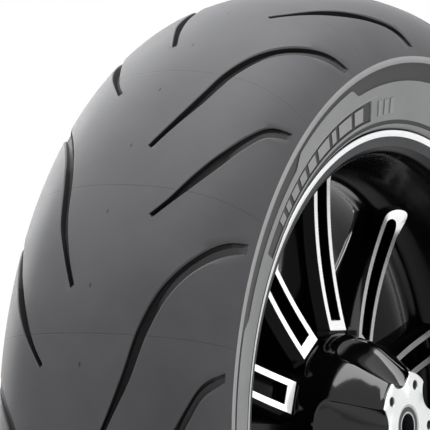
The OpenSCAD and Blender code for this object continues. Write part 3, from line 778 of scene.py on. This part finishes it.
# rim: one section turned round the axle

rim = {"segments": 360, "insidePoints": 72, "sharpAngle": 20}
# the face that the spokes stand on, from the middle out to the bevel
rimInside = smoothPath([(183, 0), (183, 6), (184.2, 8.5), (187.5, 11.5), (191, 15.5), (194, 22), (195.6, 30),
                        (196.6, 40), (197.2, 52), (198.2, 62), (200.8, 68), (205.1, 71.6)],
                       rim["insidePoints"])


def rimPiece():
    # section as (radius, distance from the middle, finish): inside, bevel, lip, flange, bead seat and well
    front = [tuple(point) + (0,) for point in rimInside[:-1]]
    front += [(205.1, 71.6, 1), (212.1, rimHalfWidth - 1.1, 2), (216.5, rimHalfWidth - 0.1, 2),
              (216.8, rimHalfWidth - 0.5, 0), (216.8, 72.5, 0), (216.4, 70, 0), (213.5, 66, 0),
              (209, 63.5, 0), (202.8, 63.5, 0), (202.8, 38, 0), (201, 32, 0), (197.5, 18, 0), (189, 8, 0)]
    back = [(r, -y) for r, y, kind in front[:0:-1]]
    kinds = [kind for r, y, kind in front]
    kinds += kinds[:-1][::-1]
    loop = np.array([(r, y) for r, y, kind in front] + back)
    count = rim["segments"]
    angle = np.arange(count) * 360 / count
    radius, y = loop[:, 0][:, None], loop[:, 1][:, None]
    points = roundAxle(radius + 0 * angle, y, angle + 0 * radius)
    last = (len(loop) - 1) * count
    faces = gridFaces(len(loop), count, closed=True)
    faces += [(last + j, last + (j + 1) % count, (j + 1) % count, j) for j in range(count)]
    finish = np.repeat(kinds, count)
    item = makePiece("castRim", points.reshape(-1, 3), faces, finish)
    for material in (barrelFinish, bevelFinish, turnedFinish):
        item.data.materials.append(material)
    item.data.polygons.foreach_set("material_index", np.asarray(finish, np.int32))
    return item


finishPiece(rimPiece(), wheelBody, ["rim"], rim["sharpAngle"])


# spokes: chamfered bars with a pocket in each turned face

spoke = {"count": 10, "firstAngle": -18, "halfFace": 12.4, "halfPocket": 6.9, "halfBody": 18.5,
         "pocketDepth": 8.0, "waist": 168.0, "halfDepth": 13.4, "spread": 0.00141, "root": 64.0,
         "plate": 69.5, "pocketStart": 77.2, "pocketEnd": 179.1, "stretchStart": 130, "faceEnd": 181.8,
         "fillet": 18.0, "filletCentre": 178.0, "barStations": 34, "endStations": 15, "sharpAngle": 24}


def spokeFace(radius):
    hollow = spoke["halfDepth"] + spoke["spread"] * np.clip(spoke["waist"] - radius, 0, None) ** 2
    over = np.clip(radius - spoke["filletCentre"], 0, spoke["fillet"] * 0.97)
    return hollow + spoke["fillet"] - np.sqrt(spoke["fillet"] ** 2 - over ** 2)


def spokeHalf(radius, turn, sunk, low):
    # half a section of one face as (across, out from the middle, radius), from the middle to the side
    face, pocket, body = spoke["halfFace"], spoke["halfPocket"], spoke["halfBody"]
    c, s = math.cos(math.radians(turn)), math.sin(math.radians(turn))
    stretch = easeBetween(radius, spoke["stretchStart"], spoke["pocketEnd"])
    reach = radius + (spoke["faceEnd"] - spoke["pocketEnd"]) * stretch
    deep = spoke["pocketDepth"] * sunk
    # width, depth below the face, and where the end of that line is centred
    lines = [(0, deep, radius), (pocket * 0.55, deep, radius), (pocket - 0.6, deep, radius),
             (pocket - 0.15, min(deep, 0.5), radius), (pocket + 0.35, 0, radius), (face - 0.4, 0, reach),
             (face, 0.35, reach), (body - 0.7, 6.6, reach), (body - 0.25, 7.8, reach), (body, 9.2, reach)]
    half = [(width * c, spokeFace(centre + width * s) - drop - low, centre + width * s)
            for width, drop, centre in lines]
    half += [(body * c + 0.05, half[-1][1] * 0.5, half[-1][2]), (body * c + 0.1, 0, half[-1][2])]
    return [(w, y, min(at, np.interp(y, rimInside[:, 1], rimInside[:, 0]) + 0.8)) for w, y, at in half]


def spokePiece():
    start, end, plate = spoke["pocketStart"], spoke["pocketEnd"], spoke["plate"]
    # each station: radius, turn round the rounded end, how deep the pocket is, how low the face is
    stations = [(spoke["root"], 0, 0, 1.4), (plate, 0, 0, 1.4), (plate + 0.05, 0, 0, 0.3),
                (plate + 0.35, 0, 0, 0), (start - 0.35, 0, 0, 0), (start, 0, 0.06, 0), (start + 0.3, 0, 1, 0)]
    stations += [(radius, 0, 1, 0) for radius in np.linspace(start + 3, end, spoke["barStations"])]
    stations += [(end, turn, 1, 0) for turn in np.linspace(6, 90, spoke["endStations"])]
    rings = []
    for station in stations:
        half = spokeHalf(*station)
        ring = [(at, -y, w) for w, y, at in half[::-1]] + [(at, -y, -w) for w, y, at in half[1:]]
        ring += [(at, y, -w) for w, y, at in half[-2::-1]] + [(at, y, w) for w, y, at in half[1:-1]]
        rings.append(ring)
    points = np.array(rings)
    count, columns = points.shape[:2]
    # which line of the half section each column of a ring lies on
    n = len(half)
    line = [*range(n - 1, -1, -1), *range(1, n), *range(n - 2, -1, -1), *range(1, n - 1)]
    faces = gridFaces(count, columns, closed=True)
    # machined from the plate outwards: the whole face up to the pocket, and the border round the pocket
    finish = []
    for i in range(count - 1):
        turned = stations[i][0] >= plate + 0.04
        solid = stations[i + 1][2] < 0.1
        for j in range(columns):
            low, high = sorted((line[j], line[(j + 1) % columns]))
            finish.append(1 if turned and high <= 5 and (solid or low >= 4) else 0)
    faces += [tuple(range(columns))[::-1], tuple((count - 1) * columns + j for j in range(columns))]
    item = makePiece("castSpokes", points.reshape(-1, 3), faces, finish + [0, 0])
    item.data.transform(Matrix.Rotation(math.radians(spoke["firstAngle"]), 4, "Y"))
    repeatRound(item, spoke["count"], (paintFinish, turnedFinish, turnedFinish))
    return item


finishPiece(spokePiece(), wheelBody, ["spokes"], spoke["sharpAngle"])


# hub: a trumpet-shaped body with five flutes between the bolt bosses

hub = {"lobes": 5, "faceBevel": 0.5, "flute": 19.0, "fluteStraight": 34.0, "fluteTurn": 10.0,
       "fluteEnd": 44.0, "mergeLength": 16, "mergeWidth": 0.85, "softness": 0.7, "softReach": 0.45,
       "discCircle": 31.6, "discHole": 3.4, "pulleyCircle": 33.0, "pulleyHole": 4.25, "holeDepth": 22.0,
       "holeBevel": 0.5, "holePoints": 28, "borePoints": 25, "trumpetPoints": 120, "sharpAngle": 40}
# radius at each distance back from the bolt face, and depth of the flutes there
trumpet = smoothPath([(0, 40), (4, 41.2), (9, 44.8), (15.3, 49.3), (27, 57.8), (34, 61.5), (42, 64),
                      (50, 66.3), (58, 68)], hub["trumpetPoints"])
fluteDepth = [(0, 10.4), (15.3, 7.2), (27, 6), (34, 5), (38, 3.9), (41, 2.6), (43, 1.3), (44, 0)]
# distances back from the bolt face of the outside's rows, the last one being the hub's middle
hubRows = [0, hub["faceBevel"], 2, 4, 6.5, 9, 12, 15.3, 19, 23, 27, 30.5, 34, 36, 38, 39.5, 41, 42.3, 43.3,
           44, 46, 49, 52, 55, 58, 62, 86]
# bore's mouth, bearing seat, shoulder and the hollow behind it, as (radius, distance from the middle)
boreSection = [(16.5, 86), (16, 85.5), (16, 73.2), (14, 73.2), (14, 70.2), (24, 67.2), (24, 0)]


def hubColumns():
    # from the middle of a lobe to the middle of a flute: side, share of the lobe, share of the flute
    half = [(f, 1.0) for f in (0, 0.2, 0.4, 0.6, 0.8, 0.9, 0.95, 0.975, 0.99)]
    half += [(1, c) for c in (1, 0.99, 0.97, 0.93, 0.85, 0.72, 0.55, 0.3, 0)]
    return [(-1, f, c) for f, c in half[:0:-1]] + [(1, f, c) for f, c in half]


def hubRadius(back, columns):
    # half width of a flute in degrees: straight, then rounded off, then merging into the smooth hub
    turn = min(max((back - hub["fluteStraight"]) / hub["fluteTurn"], 0), 0.999)
    width = hub["flute"] * math.sqrt(1 - turn ** 2)
    if back > hub["fluteEnd"]:
        merged = min((back - hub["fluteEnd"]) / hub["mergeLength"], 1)
        width = hub["mergeWidth"] + (hub["flute"] - hub["mergeWidth"]) * merged
    depth = np.interp(back, *np.array(fluteDepth).T)
    step = 180 / hub["lobes"]
    angle = [way * ((step - width) * f if c == 1 and f < 1 else step - width * c) for way, f, c in columns]
    # a rounded edge takes a little off both sides of the flute's rim
    softness = min(hub["softness"], depth * 0.3)
    radius = []
    for way, f, c in columns:
        away = width * (1 - c) if f == 1 else (step - width) * (1 - f)
        drop = depth * math.sqrt(1 - c * c) + softness * math.exp(-away / hub["softReach"])
        radius.append(np.interp(back, trumpet[:, 0], trumpet[:, 1]) - drop)
    return np.array(radius), np.array(angle)


def hubPiece():
    columns, bevel = hubColumns(), hub["faceBevel"]
    points = []
    for sign in (-1, 1):
        for back in hubRows if sign < 0 else hubRows[-2::-1]:
            radius, angle = hubRadius(back, columns)
            radius = radius - (bevel if back == 0 else 0)
            points.append(roundAxle(radius, sign * (hubHalfWidth - back), angle))
    count, width = len(points), len(columns)
    faces = gridFaces(count, width)
    # the bolt-face rows take the second finish, the hub aluminium with its painted shade
    finish = [1 if i in (0, count - 2) else 0 for i in range(count - 1) for j in range(width - 1)]
    points = [np.concatenate(points)]
    start = count * width

    def add(more, moreFaces, kind):
        nonlocal start, faces, finish
        faces += [tuple(start + k for k in face) for face in moreFaces]
        finish += [kind] * len(moreFaces)
        points.append(more)
        start += len(more)

    bore = boreSection + [(r, -y) for r, y in boreSection[-2::-1]]
    step = 180 / hub["lobes"]
    around = np.linspace(-step, step, hub["borePoints"])
    add(np.concatenate([roundAxle(r, y, around) for r, y in bore]), gridFaces(len(bore), len(around)), 1)
    # both bolt faces, flat between the outline, the bore and one bolt hole
    radius, angle = hubRadius(0, columns)
    outline = roundAxle(radius - bevel, 0, angle)[:, [0, 2]]
    boreEdge = roundAxle(np.array([25.5, 21.0]), 0, np.array([step, step]))[:, [0, 2]]
    inner = roundAxle(boreSection[0][0], 0, around[::-1])[:, [0, 2]]
    loop = np.concatenate([outline, boreEdge, inner, (boreEdge * (1, -1))[::-1]])
    number, soft, deep = hub["holePoints"], hub["holeBevel"], hub["holeDepth"]
    turn = np.radians(np.arange(number) * 360 / number)
    ring = np.stack([np.cos(turn), np.sin(turn)], -1)
    for sign, circle, hole in ((-1, hub["discCircle"], hub["discHole"]),
                               (1, hub["pulleyCircle"], hub["pulleyHole"])):
        mouth = ring * (hole + soft) + (circle, 0)
        flat = np.concatenate([loop, mouth])
        more = np.stack([flat[:, 0], np.full(len(flat), sign * hubHalfWidth), flat[:, 1]], -1)
        add(more, fillBetween(loop, [mouth], np.zeros((0, 2))).tolist(), 1)
        # the hole's wall from its bevelled mouth down to the cone and the flat that close it
        steps = [(hole + soft, 0), (hole, soft), (hole, deep), (hole * 0.3, deep + 1.5)]
        wall = [np.stack([ring[:, 0] * r + circle, np.full(number, sign * (hubHalfWidth - d)),
                          ring[:, 1] * r], -1) for r, d in steps]
        bottom = tuple((len(steps) - 1) * number + i for i in range(number))
        # the hole's wall takes the third finish, with its painted shade and reflection
        add(np.concatenate(wall), gridFaces(len(steps), number, closed=True) + [bottom], 2)
    item = makePiece("castHub", np.concatenate(points), faces, finish)
    repeatRound(item, hub["lobes"], (hubFinish, shadedFaceFinish, holeShadeFinish))
    return item


finishPiece(hubPiece(), wheelBody, ["hub"], hub["sharpAngle"])
